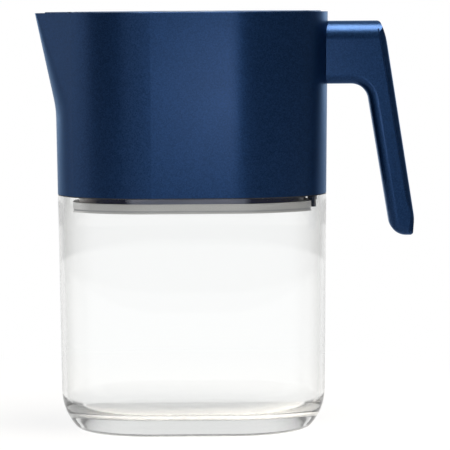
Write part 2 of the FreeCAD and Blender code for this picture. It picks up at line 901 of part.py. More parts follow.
def hinge_room(x, half_width):
    """The room that a turning barrel needs in the lid."""
    reach = half_width + hinge_gap
    room = bar_y(hinge_barrel_radius + hinge_gap, x, hinge_height, (-reach, reach))
    roof = box((x - hinge_barrel_radius - hinge_gap, x + hinge_barrel_radius + hinge_gap),
               (-reach, reach), (hinge_height, lid_top + overrun))
    return room.fuse(roof)


def hinge_pin(x, half_width):
    """A steel pin that runs through a barrel into the lid on both sides."""
    reach = half_width + hinge_gap + hinge_pin_cover
    return bar_y(hinge_pin_radius, x, hinge_height, (-reach, reach))


def hinged_plate(plate, x, half_width):
    """A plate joined to its barrel, bored for the pin."""
    barrel = hinge_knuckle(x, (-half_width, half_width))
    bridge_x = (x - hinge_barrel_radius - hinge_gap - sink_in, x)
    bridge = box(bridge_x, (-half_width, half_width), (hinge_height, lid_top))
    bore = bar_y(hinge_pin_radius + hinge_pin_clearance, x, hinge_height,
                 (-half_width - overrun, half_width + overrun))
    return plate.fuse([barrel, bridge]).cut(bore).removeSplitter()


def door_outline(grow, z_range):
    """The fill door's plan with rounded front corners, grown all round by a gap."""
    back = door_hinge_x - hinge_barrel_radius - hinge_gap + grow
    front = door_front_x - grow
    side = door_half_width + grow
    solid = box((front, back), (-side, side), z_range)
    corner = [edge for edge in solid.Edges
              if all(abs(vertex.X - front) < pick_tolerance for vertex in edge.Vertexes)
              and abs(edge.Vertexes[0].Y - edge.Vertexes[-1].Y) < pick_tolerance]
    return solid.makeFillet(door_corner_radius, corner)


def door_window(inset, z_range):
    """The opening under the fill door, or a ring line round it, at an inset from the door's edge."""
    back = door_hinge_x - hinge_barrel_radius - hinge_gap - inset
    side = door_half_width - inset
    return box((door_front_x + inset, back), (-side, side), z_range)


def make_lid_shell():
    """Lid with its skirt, the wall behind the spout, the wand's socket and the fill opening."""
    plate = lid_plate_block(lid_inset, (lid_plate_bottom, lid_top))
    skirt_z = (flange_top, lid_plate_bottom + sink_in)
    skirt = stadium_ring(lid_radius, lid_radius - lid_skirt_wall, skirt_z, end_span)
    wall_x = (-tub_end_x, -tub_end_x + lid_skirt_wall)
    wall = lid_block(lid_inset, skirt_z).common(
        box(wall_x, (-lid_radius, lid_radius), skirt_z))
    socket_z = (lid_top - head_seat_depth - head_shelf, lid_plate_bottom + sink_in)
    socket = cylinder(head_radius + head_clearance + head_socket_wall, socket_z)
    frame_z = (lid_plate_bottom - door_frame_thickness, lid_plate_bottom + sink_in)
    frame = door_outline(door_frame_width, frame_z)
    solid = plate.fuse([skirt, wall, socket, frame])
    solid = solid.cut(box((flap_nose_x - spout_reach, -tub_end_x), (-lid_radius, lid_radius),
                          (flange_top - overrun, hinge_height - hinge_barrel_radius)))
    nose = box((flap_nose_x - spout_reach, flap_hinge_x), (-lid_radius, lid_radius),
               (hinge_height - hinge_barrel_radius, lid_top + overrun))
    solid = solid.cut(nose)
    lips = lid_block(lid_inset, (hinge_height - hinge_barrel_radius, lid_top)).common(
        hinge_knuckle(flap_hinge_x, (-lid_radius, lid_radius)))
    solid = solid.fuse(lips)
    solid = solid.cut(hinge_room(flap_hinge_x, flap_barrel_half_width))
    solid = solid.cut(hinge_pin(flap_hinge_x, flap_barrel_half_width))
    return cut_lid_openings(solid).removeSplitter()


def cut_lid_openings(solid):
    """Cuts the wand's socket, the fill door's seat and opening and the seal's groove."""
    seat = lid_top - head_seat_depth
    solid = solid.cut(cylinder(head_radius + head_clearance, (seat, lid_top + overrun)))
    hole = neck_radius + neck_hole_clearance
    solid = solid.cut(cylinder(hole, (seat - head_shelf - overrun, seat + overrun)))
    door_side = door_half_width + door_gap
    solid = solid.cut(door_outline(door_gap, (lid_plate_bottom, lid_top + overrun)))
    back = box((door_hinge_x - hinge_barrel_radius - hinge_gap, door_hinge_x),
               (-door_side, door_side), (lid_plate_bottom, lid_top + overrun))
    solid = solid.cut(back)
    solid = solid.fuse(hinge_knuckle(door_hinge_x, (-door_side, door_side)))
    solid = solid.cut(hinge_room(door_hinge_x, door_barrel_half_width))
    solid = solid.cut(hinge_pin(door_hinge_x, door_barrel_half_width))
    window_z = (flange_top, lid_top + overrun)
    solid = solid.cut(door_window(door_frame_rest, window_z))
    notch = cylinder(door_notch_radius, (lid_top - lid_plate * door_notch_share, lid_top + overrun),
                     door_front_x)
    solid = solid.cut(notch)
    seal_groove = door_seal_shape()
    solid = solid.cut(seal_groove)
    return solid.cut(lid_seal_shape(lid_radius + overrun))


def lid_seal_shape(outer):
    """The lid seal's ring, or its groove, open at the spout end."""
    seal_z = (lid_seal_bottom, lid_seal_bottom + lid_seal_height)
    body = stadium_ring(outer, lid_radius - lid_seal_depth, seal_z, end_span)
    spout_side = box((-end_span - outer - overrun, lid_skirt_wall - tub_end_x),
                     (-outer, outer), (seal_z[0] - overrun, seal_z[1] + overrun))
    return body.cut(spout_side)


def door_seal_shape():
    """Seal strip let into the seat round the fill opening."""
    inset = (door_frame_rest - door_seal_width) / 2
    seal_z = (lid_plate_bottom - door_seal_height, lid_plate_bottom)
    outer = door_window(inset, seal_z)
    inner_z = (seal_z[0] - overrun, seal_z[1] + overrun)
    return outer.cut(door_window(inset + door_seal_width, inner_z))


def make_fill_door():
    """Door over the fill opening, with its hinge barrel on the handle side."""
    plate = door_outline(0, (lid_plate_bottom + door_seat_gap, lid_top))
    return hinged_plate(plate, door_hinge_x, door_barrel_half_width)


def make_spout_flap():
    """Flap over the spout, the nose of the lid, that swings up to pour."""
    plate_z = (lid_top - flap_thickness, lid_top)
    plate = lid_plate_block(lid_inset + flap_side_gap, plate_z)
    span = (flap_nose_x, flap_hinge_x - hinge_barrel_radius - hinge_gap)
    plate = plate.common(box(span, (-lid_radius, lid_radius), plate_z))
    return hinged_plate(plate, flap_hinge_x, flap_barrel_half_width)


# Purifier wand

board_top = board_height + board_thickness
ring_bottom = roof_bottom - light_ring_flange_height
tube_bore_radius = tube_radius - tube_wall
cap_axis_y = cap_outer_y + cap_thickness / 2
end_cap_top = wand_bottom + end_cap_height
sink_top = end_cap_top + sink_length
battery_top = board_height - ribbon_length - battery_tip_height


def make_wand_head():
    """Head of the wand: flange and roof in the lid, neck below with the charge port's seat."""
    head = cylinder(head_radius, (head_bottom, lid_top))
    head = head.fuse(cylinder(neck_radius, (neck_bottom, head_bottom)))
    head = head.cut(cylinder(neck_bore_radius, (neck_bottom + neck_floor, board_height)))
    head = head.cut(cylinder(board_bore_radius, (board_height, roof_bottom)))
    head = head.cut(cylinder(light_ring_radius, (roof_bottom - overrun, lid_top + overrun)))
    head = head.cut(cylinder(tube_radius, (neck_bottom - overrun, neck_bottom + neck_floor + overrun)))
    side = cap_half_width + cap_gap
    pocket_y = (-neck_radius - overrun, cap_outer_y + cap_thickness + cap_gap)
    head = head.cut(box((-side, side), pocket_y, (cap_bottom - cap_gap, cap_hinge_height)))
    groove = cap_barrel_radius + cap_groove_gap
    head = head.cut(bar_x(groove, cap_axis_y, cap_hinge_height, (-side, side)))
    head = head.cut(box((-side, side), (-neck_radius - overrun, cap_axis_y),
                        (cap_hinge_height, cap_hinge_height + groove)))
    pin_reach = side + cap_pin_cover
    head = head.cut(bar_x(cap_pin_radius, cap_axis_y, cap_hinge_height, (-pin_reach, pin_reach)))
    port_side = port_half_width + port_clearance
    port_rise = port_half_height + port_clearance
    port_z = (port_height - port_rise, port_height + port_rise)
    return head.cut(box((-port_side, port_side), (-neck_radius, -neck_bore_radius + overrun), port_z))


def make_wand_tube():
    """Tube of the wand, from inside its head down to the end cap."""
    return ring(tube_radius, tube_bore_radius, (end_cap_top, neck_bottom + tube_insert))


def make_light_ring():
    """Translucent ring round the button, held by a flange under the head's roof."""
    inner = light_ring_radius - light_ring_wall
    upright = ring(light_ring_radius, inner, (ring_bottom, lid_top))
    return upright.fuse(ring(light_ring_radius + light_ring_flange, inner, (ring_bottom, roof_bottom)))


def make_wand_button():
    """Round button with a dished top, a flange that keeps it in and a stem over the switch."""
    radius = light_ring_radius - light_ring_wall - button_gap
    flange_top_z = ring_bottom - button_flange_gap
    flange_low = flange_top_z - button_flange_height
    cap = cylinder(radius, (flange_low, lid_top))
    flange = cylinder(button_flange_radius, (flange_low, flange_top_z))
    stem_low = board_top + switch_height + switch_plunger_height + button_travel + button_stop_gap
    stem = cylinder(button_stem_radius, (stem_low, flange_low))
    bowl_radius = (button_dish_radius ** 2 + button_dish_depth ** 2) / (2 * button_dish_depth)
    bowl = Part.makeSphere(bowl_radius, Vector(0, 0, lid_top - button_dish_depth + bowl_radius))
    return cap.fuse([flange, stem]).cut(bowl).removeSplitter()


def make_circuit_board():
    """Round circuit board on the step inside the head."""
    return cylinder(board_bore_radius - board_clearance, (board_height, board_top))


def make_button_switch():
    """Push switch on the circuit board."""
    side = (-switch_half_width, switch_half_width)
    body = box(side, side, (board_top, board_top + switch_height))
    plunger_z = (board_top + switch_height, board_top + switch_height + switch_plunger_height)
    return body.fuse(cylinder(switch_plunger_radius, plunger_z))


port_front = cap_outer_y + cap_thickness + 2 * cap_gap
port_back = port_front + port_depth


def make_charge_board():
    """Small upright board that joins the charge port to the circuit board."""
    side = (-charge_board_half_width, charge_board_half_width)
    low = neck_bottom + tube_insert + board_clearance
    return box(side, (port_back, port_back + charge_board_thickness), (low, board_height))


def make_charge_port():
    """Metal shell of the charge port with its tongue."""
    z_range = (port_height - port_half_height, port_height + port_half_height)
    shell = box((-port_half_width, port_half_width), (port_front, port_back), z_range)
    inner_side = port_half_width - port_wall
    inner_z = (z_range[0] + port_wall, z_range[1] - port_wall)
    inner_y = (port_front - overrun, port_back - port_wall)
    shell = shell.cut(box((-inner_side, inner_side), inner_y, inner_z))
    tongue_side = inner_side - 2 * port_wall
    tongue_z = (port_height - port_tongue_half_height, port_height + port_tongue_half_height)
    return shell.fuse(box((-tongue_side, tongue_side), (port_front + port_wall, port_back), tongue_z))


def make_charge_flap():
    """Flap over the charge port, hinged along its top edge."""
    side = (-cap_half_width, cap_half_width)
    plate = box(side, (cap_outer_y, cap_outer_y + cap_thickness), (cap_bottom, cap_hinge_height))
    barrel = bar_x(cap_barrel_radius, cap_axis_y, cap_hinge_height, side)
    bore_radius = cap_pin_radius + cap_pin_clearance
    bore_reach = cap_half_width + overrun
    bore = bar_x(bore_radius, cap_axis_y, cap_hinge_height, (-bore_reach, bore_reach))
    return plate.fuse(barrel).cut(bore).removeSplitter()


def make_charge_flap_pin():
    """Pin of the charge flap, held in the neck at both ends."""
    reach = cap_half_width + cap_gap + cap_pin_cover
    return bar_x(cap_pin_radius, cap_axis_y, cap_hinge_height, (-reach, reach))


def make_battery():
    """Round cell in the tube, with a raised tip."""
    cell = cylinder(tube_bore_radius - battery_gap, (sink_top, battery_top))
    return cell.fuse(cylinder(battery_tip_radius, (battery_top, battery_top + battery_tip_height)))


def make_battery_ribbon():
    """Flat lead from the cell's tip up to the circuit board."""
    side = (-ribbon_half_width, ribbon_half_width)
    half = ribbon_thickness / 2
    return box(side, (-half, half), (battery_top + battery_tip_height, board_height))


def make_lamp_heat_sink():
    """Metal plug that carries the lamp board and the cell."""
    return cylinder(tube_bore_radius - sink_gap, (end_cap_top, sink_top))


def make_lamp_board():
    """Round lamp board under the heat sink, with its square lamp facing down."""
    low = end_cap_top - lamp_board_thickness
    side = (-lamp_half_width, lamp_half_width)
    disc = cylinder(lamp_board_radius, (low, end_cap_top))
    return disc.fuse(box(side, side, (low - lamp_height, low)))


seal_top = wand_bottom + end_cap_floor + window_seal_height
window_radius = tube_radius - end_cap_wall - window_gap


def make_wand_end_cap():
    """Cup at the end of the tube that holds the window."""
    cap = cylinder(tube_radius, (wand_bottom, end_cap_top))
    room = (wand_bottom + end_cap_floor, end_cap_top + overrun)
    cap = cap.cut(cylinder(tube_radius - end_cap_wall, room))
    return cap.cut(cylinder(window_aperture_radius, (wand_bottom - overrun, end_cap_top)))


def make_window_seal():
    """Ring seal under the window."""
    seal_z = (wand_bottom + end_cap_floor, seal_top)
    return ring(window_radius, window_radius - window_seal_width, seal_z)


def make_wand_window():
    """Clear window in front of the lamp."""
    return cylinder(window_radius, (seal_top, seal_top + window_thickness))


def make_head_seal():
    """Ring seal between the wand's head and its seat in the lid."""
    return ring(head_radius, head_radius - head_seal_width, (head_seat, head_bottom))


nodes = {
    "jug": make_jug(),
    "joint_gasket": make_joint_gasket(),
    "upper_body": make_upper_body(),
    "handle_body": make_handle_body(),
    "handle_back_cover": make_handle_back_cover(),
    "handle_screws": make_handle_screws(),
    "screw_washers": make_screw_washers(),
    "reservoir": make_reservoir(),
    "reservoir_base": make_reservoir_base(),
    "vent_plug": make_vent_plug(),
    "filter_shell": make_filter_shell(),
    "filter_cap": make_filter_cap(),
    "filter_media": filter_layer((screen_top, media_top)),
    "filter_pad": filter_layer((media_top, pad_top)),
    "filter_screen": filter_layer((filter_floor_top, screen_top)),
    "filter_seal": make_filter_seal(),
    "lid_shell": make_lid_shell(),
    "lid_seal": lid_seal_shape(lid_radius + lid_seal_proud),
    "fill_door_pin": hinge_pin(door_hinge_x, door_barrel_half_width),
    "spout_flap_pin": hinge_pin(flap_hinge_x, flap_barrel_half_width),
    "fill_door_seal": door_seal_shape(),
    "fill_door": make_fill_door(),
    "spout_flap": make_spout_flap(),
    "wand_head": make_wand_head(),
    "wand_tube": make_wand_tube(),
    "light_ring": make_light_ring(),
    "wand_button": make_wand_button(),
    "circuit_board": make_circuit_board(),
    "button_switch": make_button_switch(),
    "charge_board": make_charge_board(),
    "charge_port": make_charge_port(),
    "charge_flap": make_charge_flap(),
    "charge_flap_pin": make_charge_flap_pin(),
    "battery": make_battery(),
    "battery_ribbon": make_battery_ribbon(),
    "lamp_heat_sink": make_lamp_heat_sink(),
    "lamp_board": make_lamp_board(),
    "wand_end_cap": make_wand_end_cap(),
    "window_seal": make_window_seal(),
    "wand_window": make_wand_window(),
    "head_seal": make_head_seal(),
}

os.makedirs("parts", exist_ok=True)
for name, shape in nodes.items():
    print(f"{name}: {len(shape.Solids)} solids, valid {shape.isValid()}, {shape.Volume:.0f} mm3")
    shape.exportStep(f"parts/{name}.step")
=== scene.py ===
"""Looks of the water filter pitcher: finishes, soft studio light, floor and camera."""

import json
import math

import bmesh
import bpy
from mathutils import Euler, Matrix, Vector


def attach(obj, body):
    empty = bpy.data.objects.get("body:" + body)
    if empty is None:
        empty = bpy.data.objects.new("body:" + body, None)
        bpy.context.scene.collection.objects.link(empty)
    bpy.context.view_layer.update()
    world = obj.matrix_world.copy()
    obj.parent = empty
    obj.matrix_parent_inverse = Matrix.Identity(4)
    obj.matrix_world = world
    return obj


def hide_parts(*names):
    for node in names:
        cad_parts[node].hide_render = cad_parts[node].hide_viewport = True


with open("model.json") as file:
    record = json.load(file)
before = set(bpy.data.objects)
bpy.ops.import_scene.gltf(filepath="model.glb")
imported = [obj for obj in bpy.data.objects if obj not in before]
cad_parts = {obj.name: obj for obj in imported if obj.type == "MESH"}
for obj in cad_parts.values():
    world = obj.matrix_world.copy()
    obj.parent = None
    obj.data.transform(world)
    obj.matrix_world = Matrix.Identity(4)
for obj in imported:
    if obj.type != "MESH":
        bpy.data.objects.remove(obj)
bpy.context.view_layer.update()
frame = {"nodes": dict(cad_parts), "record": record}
nodes = frame["nodes"]
scene = bpy.context.scene


# Finishes: each is a Principled shader whose colour, roughness and relief follow a pattern in object space

# The mix node's sockets share their names, so its factor, colours and result are found by number
MIX_FACTOR, MIX_FIRST, MIX_SECOND, MIX_RESULT = 0, 6, 7, 2
# Half the length that the tones of the reservoir and its foot run along, in metres
TONE_REACH = 0.08
# Refraction of clear plastic, and a lower one for the jug, whose thick base otherwise traps light
PLASTIC_IOR = 1.49
JUG_IOR = 1.38


class Finish:
    """A material with a Principled shader and short ways to add nodes to it."""

    def __init__(self, name):
        self.material = bpy.data.materials.new(name)
        self.material.use_nodes = True
        self.tree = self.material.node_tree
        self.shader = self.tree.nodes["Principled BSDF"]

    def add(self, kind, settings=None, **values):
        """A node of a kind, with plain settings and values for its inputs by their names."""
        made = self.tree.nodes.new(kind)
        for key, value in (settings or {}).items():
            setattr(made, key, value)
        for key, value in values.items():
            made.inputs[key].default_value = value
        return made

    def join(self, source, target):
        """A link from an output socket to an input socket."""
        self.tree.links.new(source, target)

    def place(self, stretch=(1, 1, 1)):
        """Object coordinates, stretched along the axes."""
        coordinates = self.add("ShaderNodeTexCoord")
        mapping = self.add("ShaderNodeMapping", Scale=stretch)
        self.join(coordinates.outputs["Object"], mapping.inputs["Vector"])
        return mapping.outputs["Vector"]

    def noise(self, scale, detail=2.0, stretch=(1, 1, 1)):
        """A soft cloudy pattern."""
        made = self.add("ShaderNodeTexNoise", Scale=scale, Detail=detail)
        self.join(self.place(stretch), made.inputs["Vector"])
        return made.outputs["Fac"]

    def cells(self, scale, feature="F1", output="Distance"):
        """A pattern of small cells."""
        made = self.add("ShaderNodeTexVoronoi", {"feature": feature}, Scale=scale)
        self.join(self.place(), made.inputs["Vector"])
        return made.outputs[output]

    def bands(self, scale, direction):
        """Even ridges across a direction."""
        made = self.add("ShaderNodeTexWave", {"bands_direction": direction}, Scale=scale)
        self.join(self.place(), made.inputs["Vector"])
        return made.outputs["Fac"]

    def axis(self, name):
        """One of the object coordinates, in metres."""
        made = self.add("ShaderNodeSeparateXYZ")
        self.join(self.place(), made.inputs["Vector"])
        return made.outputs[name]

    def along(self):
        """Share of the way from the spout's end to the handle's end."""
        return self.spread(self.axis("X"), 0.0, 1.0, -TONE_REACH, TONE_REACH)

    def grey(self, socket):
        """The brightness of a colour socket."""
        made = self.add("ShaderNodeRGBToBW")
        self.join(socket, made.inputs["Color"])
        return made.outputs["Val"]

    def together(self, first, second, operation="MULTIPLY"):
        """Two values joined by a sum, a product or the larger of the two."""
        made = self.add("ShaderNodeMath", {"operation": operation})
        self.join(first, made.inputs[0])
        self.join(second, made.inputs[1])
        return made.outputs["Value"]

    def spread(self, socket, low, high, start=0.3, end=0.7):
        """A value drawn out from a part of its range to another range."""
        made = self.add("ShaderNodeMapRange", **{"From Min": start, "From Max": end})
        made.inputs["To Min"].default_value = low
        made.inputs["To Max"].default_value = high
        self.join(socket, made.inputs["Value"])
        return made.outputs["Result"]

    def stops(self, socket, first, *between, last):
        """The base colour along a pattern, from stops of a place and a colour."""
        made = self.add("ShaderNodeValToRGB")
        points = made.color_ramp.elements
        points[0].position, points[0].color = first[0], (*first[1], 1)
        points[1].position, points[1].color = last[0], (*last[1], 1)
        for place, colour in between:
            points.new(place).color = (*colour, 1)
        self.join(socket, made.inputs["Fac"])
        self.join(made.outputs["Color"], self.shader.inputs["Base Color"])

    def colours(self, socket, low, high, start=0.3, end=0.7):
        """The base colour, from one colour to another along a pattern."""
        self.stops(socket, (start, low), last=(end, high))

    def fade(self, factor, colour):
        """The base colour, drawn towards another colour by a factor."""
        target = self.shader.inputs["Base Color"]
        made = self.add("ShaderNodeMix", {"data_type": "RGBA"})
        made.inputs[MIX_SECOND].default_value = (*colour, 1)
        self.join(factor, made.inputs[MIX_FACTOR])
        self.join(target.links[0].from_socket, made.inputs[MIX_FIRST])
        self.join(made.outputs[MIX_RESULT], target)

    def roughness(self, socket, low, high, start=0.3, end=0.7):
        """The roughness, from one value to another along a pattern."""
        self.join(self.spread(socket, low, high, start, end), self.shader.inputs["Roughness"])

    def relief(self, socket, depth, strength=1.0):
        """Fine relief of a depth in metres along a pattern."""
        made = self.add("ShaderNodeBump", Strength=strength, Distance=depth)
        self.join(socket, made.inputs["Height"])
        self.join(made.outputs["Normal"], self.shader.inputs["Normal"])

    def set(self, **values):
        """Plain values on the shader, by the input's name with _ for a space."""
        for key, value in values.items():
            self.shader.inputs[key.replace("_", " ")].default_value = value


def moulded(name, low, high, rough, grain=900.0, depth=0.00002, **values):
    """Moulded plastic or rubber: a fine grain and a slow change of tone."""
    made = Finish(name)
    cloud = made.noise(35.0, 3.0)
    made.colours(cloud, low, high)
    grain_value = made.noise(grain, 2.0)
    made.roughness(made.together(cloud, grain_value, "ADD"), rough[0], rough[1], 0.6, 1.4)
    made.relief(grain_value, depth)
    made.set(**values)
    return made.material


def blue_satin():
    """Dark blue satin paint with fine metal flake."""
    made = Finish("blue_satin")
    dark_flake, light_flake = (0.0014, 0.0132, 0.0510), (0.0072, 0.0274, 0.087)
    flake = made.grey(made.cells(1500.0, output="Color"))
    made.colours(flake, dark_flake, light_flake, 0.15, 0.85)
    cloud = made.noise(60.0, 3.0)
    made.roughness(made.together(cloud, flake, "ADD"), 0.32, 0.4, 0.5, 1.5)
    made.relief(made.noise(1400.0, 2.0), 0.00002, 0.4)
    made.set(Metallic=0.7, Specular_Tint=(0.36, 0.63, 1.0, 1.0), Coat_Weight=0.08, Coat_Roughness=0.25)
    return made.material


def clear_jug():
    """Clear plastic with a frosted underside, and painted shade that darkens its colour where it is seen
    edge on, less so near the base.
    """
    made = Finish("clear_plastic")
    # Tints of the painted shade, from face on to edge on
    face_on, turned_shade = (0.995, 1.0, 0.998), (0.95, 0.952, 0.945)
    steep_shade, edge_on_shade = (0.77, 0.772, 0.76), (0.62, 0.622, 0.61)
    base_low, base_high = 0.008, 0.03
    frost_low, frost_high = 0.0001, 0.0003
    height = made.axis("Z")
    haze = made.spread(made.noise(90.0, 4.0), 0.0, 0.02)
    # Painted shade: the tint darkens where the wall is seen edge on, and less so near the base
    slant = made.add("ShaderNodeLayerWeight", Blend=0.5).outputs["Facing"]
    shade = made.together(slant, made.spread(height, 0.6, 1.0, base_low, base_high))
    shade = made.together(shade, haze, "ADD")
    made.stops(shade, (0.25, face_on), (0.5, turned_shade), (0.72, steep_shade), last=(1.0, edge_on_shade))
    clearness = made.spread(height, 0.3, 1.0, frost_low, frost_high)
    made.join(clearness, made.shader.inputs["Transmission Weight"])
    frost = made.spread(height, 0.5, 0.0, frost_low, frost_high)
    made.join(made.together(haze, frost, "ADD"), made.shader.inputs["Roughness"])
    made.set(IOR=JUG_IOR)
    body = made.add("ShaderNodeVolumeAbsorption", Color=(0.5, 0.51, 0.5, 1.0), Density=5.0)
    made.join(body.outputs["Volume"], made.tree.nodes["Material Output"].inputs["Volume"])
    return made.material


def smoke():
    """Smoke-tinted plastic with painted light: paler in mid-well and at the spout's end, where light comes
    through.
    """
    made = Finish("smoke_plastic")
    # Painted light: the middle and end tints are the light coming through the smoke, faded to dark above
    # the well's top
    middle, dark, end = (0.3, 0.325, 0.44), (0.011, 0.0145, 0.055), (0.75, 0.67, 0.63)
    well_top, wall_start = 0.1535, 0.162
    between = ((0.13, dark), (0.24, dark), (0.27, middle), (0.705, middle), (0.735, dark))
    made.stops(made.along(), (0.05, end), *between, last=(1.0, dark))
    made.fade(made.spread(made.axis("Z"), 0.0, 1.0, well_top, wall_start), dark)
    made.roughness(made.noise(90.0, 4.0), 0.12, 0.2)
    made.set(IOR=PLASTIC_IOR, Transmission_Weight=0.2, Specular_IOR_Level=0.2)
    return made.material


def pale():
    """Pale moulded plastic with painted light at the spout's end, which is lightest, and a greyer line
    along the foot's groove.
    """
    made = Finish("pale_plastic")
    end, plain, groove = (0.92, 0.91, 0.9), (0.59, 0.59, 0.58), (0.43, 0.44, 0.46)
    groove_low, groove_high = 0.1434, 0.145
    # Painted light: the spout's end is lighter than the rest of the foot
    made.stops(made.along(), (0.06, end), last=(0.1, plain))
    line = made.add("ShaderNodeMath", {"operation": "PINGPONG"})
    made.join(made.spread(made.axis("Z"), 0.0, 2.0, groove_low, groove_high), line.inputs[0])
    line.inputs[1].default_value = 1.0
    made.fade(made.spread(line.outputs["Value"], 0.0, 1.0), groove)
    grain = made.noise(900.0, 2.0)
    made.roughness(grain, 0.4, 0.55)
    made.relief(grain, 0.00002)
    return made.material


def clear(name, colour, rough, hazy_share=0.985, **values):
    """Clear or tinted plastic with faint haze from handling."""
    made = Finish(name)
    haze = made.noise(90.0, 4.0)
    made.colours(haze, [channel * hazy_share for channel in colour], colour)
    made.roughness(haze, rough[0], rough[1])
    made.set(IOR=PLASTIC_IOR, **values)
    return made.material


def brushed(name, low, high, rough):
    """Brushed metal with fine lines round it."""
    made = Finish(name)
    lines = made.noise(160.0, 3.0, (1, 1, 40))
    made.colours(lines, low, high)
    made.roughness(lines, rough[0], rough[1])
    made.relief(lines, 0.00001, 0.5)
    made.set(Metallic=1.0)
    return made.material


def granules():
    """Loose dark granules packed together, with a few pale ones."""
    made = Finish("filter_granules")
    tone = made.grey(made.cells(900.0, output="Color"))
    made.colours(tone, (0.008, 0.008, 0.009), (0.2, 0.19, 0.17), 0.55, 0.95)
    made.roughness(tone, 0.55, 0.9)
    made.relief(made.cells(900.0), 0.0006, 1.0)
    return made.material


def felt():
    """Pale felt of short fibres."""
    made = Finish("filter_felt")
    fibre = made.noise(1500.0, 4.0, (1, 1, 0.4))
    made.colours(fibre, (0.5, 0.5, 0.48), (0.78, 0.78, 0.76))
    made.roughness(fibre, 0.85, 1.0)
    made.relief(fibre, 0.0003)
    made.set(Sheen_Weight=0.2)
    return made.material


def mesh_cloth():
    """Fine woven mesh."""
    made = Finish("filter_mesh")
    weave = made.together(made.bands(330.0, "X"), made.bands(330.0, "Y"), "MAXIMUM")
    made.colours(weave, (0.18, 0.19, 0.2), (0.68, 0.7, 0.72))
    made.roughness(weave, 0.7, 0.45)
    made.relief(weave, 0.0002)
    return made.material


def circuit():
    """Green coated circuit board with fine tracks."""
    made = Finish("board")
    tracks = made.cells(260.0, "DISTANCE_TO_EDGE")
    made.colours(tracks, (0.08, 0.22, 0.09), (0.012, 0.075, 0.03), 0.02, 0.08)
    made.roughness(tracks, 0.25, 0.4, 0.02, 0.1)
    made.relief(tracks, 0.00004)
    return made.material


finishes = {
    "blue_satin": blue_satin(),
    "clear_plastic": clear_jug(),
    "smoke_plastic": smoke(),
    "pale_plastic": pale(),
    "black_rubber": moulded("black_rubber", (0.012, 0.013, 0.016), (0.022, 0.023, 0.027), (0.55, 0.75)),
    "steel": brushed("steel", (0.5, 0.5, 0.51), (0.66, 0.66, 0.67), (0.22, 0.34)),
    "filter_plastic": moulded("filter_plastic", (0.66, 0.67, 0.67), (0.74, 0.75, 0.75), (0.4, 0.55)),
    "filter_granules": granules(),
    "filter_felt": felt(),
    "filter_mesh": mesh_cloth(),
    "dark_plastic": moulded("dark_plastic", (0.014, 0.016, 0.021), (0.022, 0.025, 0.032), (0.42, 0.6)),
    "light_ring": clear("light_ring", (0.78, 0.84, 0.9), (0.3, 0.42), Transmission_Weight=0.4),
    "button_plastic": moulded("button_plastic", (0.02, 0.036, 0.08), (0.028, 0.047, 0.1), (0.35, 0.5)),
    "board": circuit(),
    "cell_wrap": moulded("cell_wrap", (0.03, 0.11, 0.32), (0.045, 0.14, 0.38), (0.25, 0.36), grain=300.0),
    "copper_lead": brushed("copper_lead", (0.72, 0.4, 0.25), (0.85, 0.52, 0.34), (0.2, 0.32)),
    "aluminium": brushed("aluminium", (0.66, 0.67, 0.68), (0.78, 0.79, 0.8), (0.24, 0.36)),
    "window_glass": clear("window_glass", (0.95, 0.97, 0.98), (0.0, 0.02), Transmission_Weight=1.0),
}

for row in frame["record"]["subparts"]:
    shown = nodes[row["node"]]
    shown.data.materials.clear()
    shown.data.materials.append(finishes[row["material_slot"]])
    for face in shown.data.polygons:
        face.material_index = 0

nodes["wand_window"].visible_shadow = False

# Moulded edges of the upper body are never quite sharp
edge_width, edge_angle = 0.0005, 50.0
edge = nodes["upper_body"].modifiers.new("soft_edge", "BEVEL")
edge.width, edge.segments = edge_width, 2
edge.limit_method, edge.angle_limit = "ANGLE", math.radians(edge_angle)


# Jug: the solid's own profile in finer steps, so that the thick base bends light smoothly

seam_height, seam_radius, taper_share = 0.1528, 0.062, 0.0125
jug_wall, base_thickness = 0.003, 0.012
flare_height, flare_depth = 0.0132, 0.0106
sole_rounding, flare_rounding, neck_rounding, floor_rounding = 0.008, 0.034, 0.03, 0.012
shoulder_height, neck_height = 0.1522, 0.1668
neck_radius, mouth_radius = 0.0591, 0.0572
neck_foot, taper_foot = 0.1492, 0.1322


def body_radius(height):
    """Outer radius of the body's round ends at a height."""
    return seam_radius + taper_share * (height - seam_height)


flare_radius = body_radius(flare_height)
# Corners of half a section, from the underside round to the floor: distance out, height, rounding
jug_profile = [
    (0, 0, 0),
    (flare_radius - flare_depth, 0, sole_rounding),
    (flare_radius, flare_height, flare_rounding),
    (body_radius(shoulder_height), shoulder_height, 0),
    (neck_radius, shoulder_height, 0),
    (neck_radius, neck_height, 0),
    (mouth_radius, neck_height, 0),
    (mouth_radius, neck_foot, neck_rounding),
    (body_radius(taper_foot) - jug_wall, taper_foot, neck_rounding),
    (body_radius(base_thickness) - jug_wall, base_thickness, floor_rounding),
    (0, base_thickness, 0),
]


def rounded_profile(corners, steps):
    """Points along a profile, each with a flag if it is sharp. Its two ends only give directions."""
    points = []
    for before, here, after in zip(corners, corners[1:], corners[2:]):
        corner, rounding = Vector(here[:2]), here[2]
        if rounding == 0:
            points.append((corner, True))
            continue
        back = (Vector(before[:2]) - corner).normalized()
        ahead = (Vector(after[:2]) - corner).normalized()
        half_bend = (math.pi - back.angle(ahead)) / 2
        middle = corner + (back + ahead).normalized() * rounding / math.cos(half_bend)
        start = corner + back * rounding * math.tan(half_bend) - middle
        side = -math.copysign(1, back.cross(ahead))
        for step in range(steps + 1):
            turn = Matrix.Rotation(side * 2 * half_bend * step / steps, 2)
            points.append((middle + turn @ start, False))
    return points


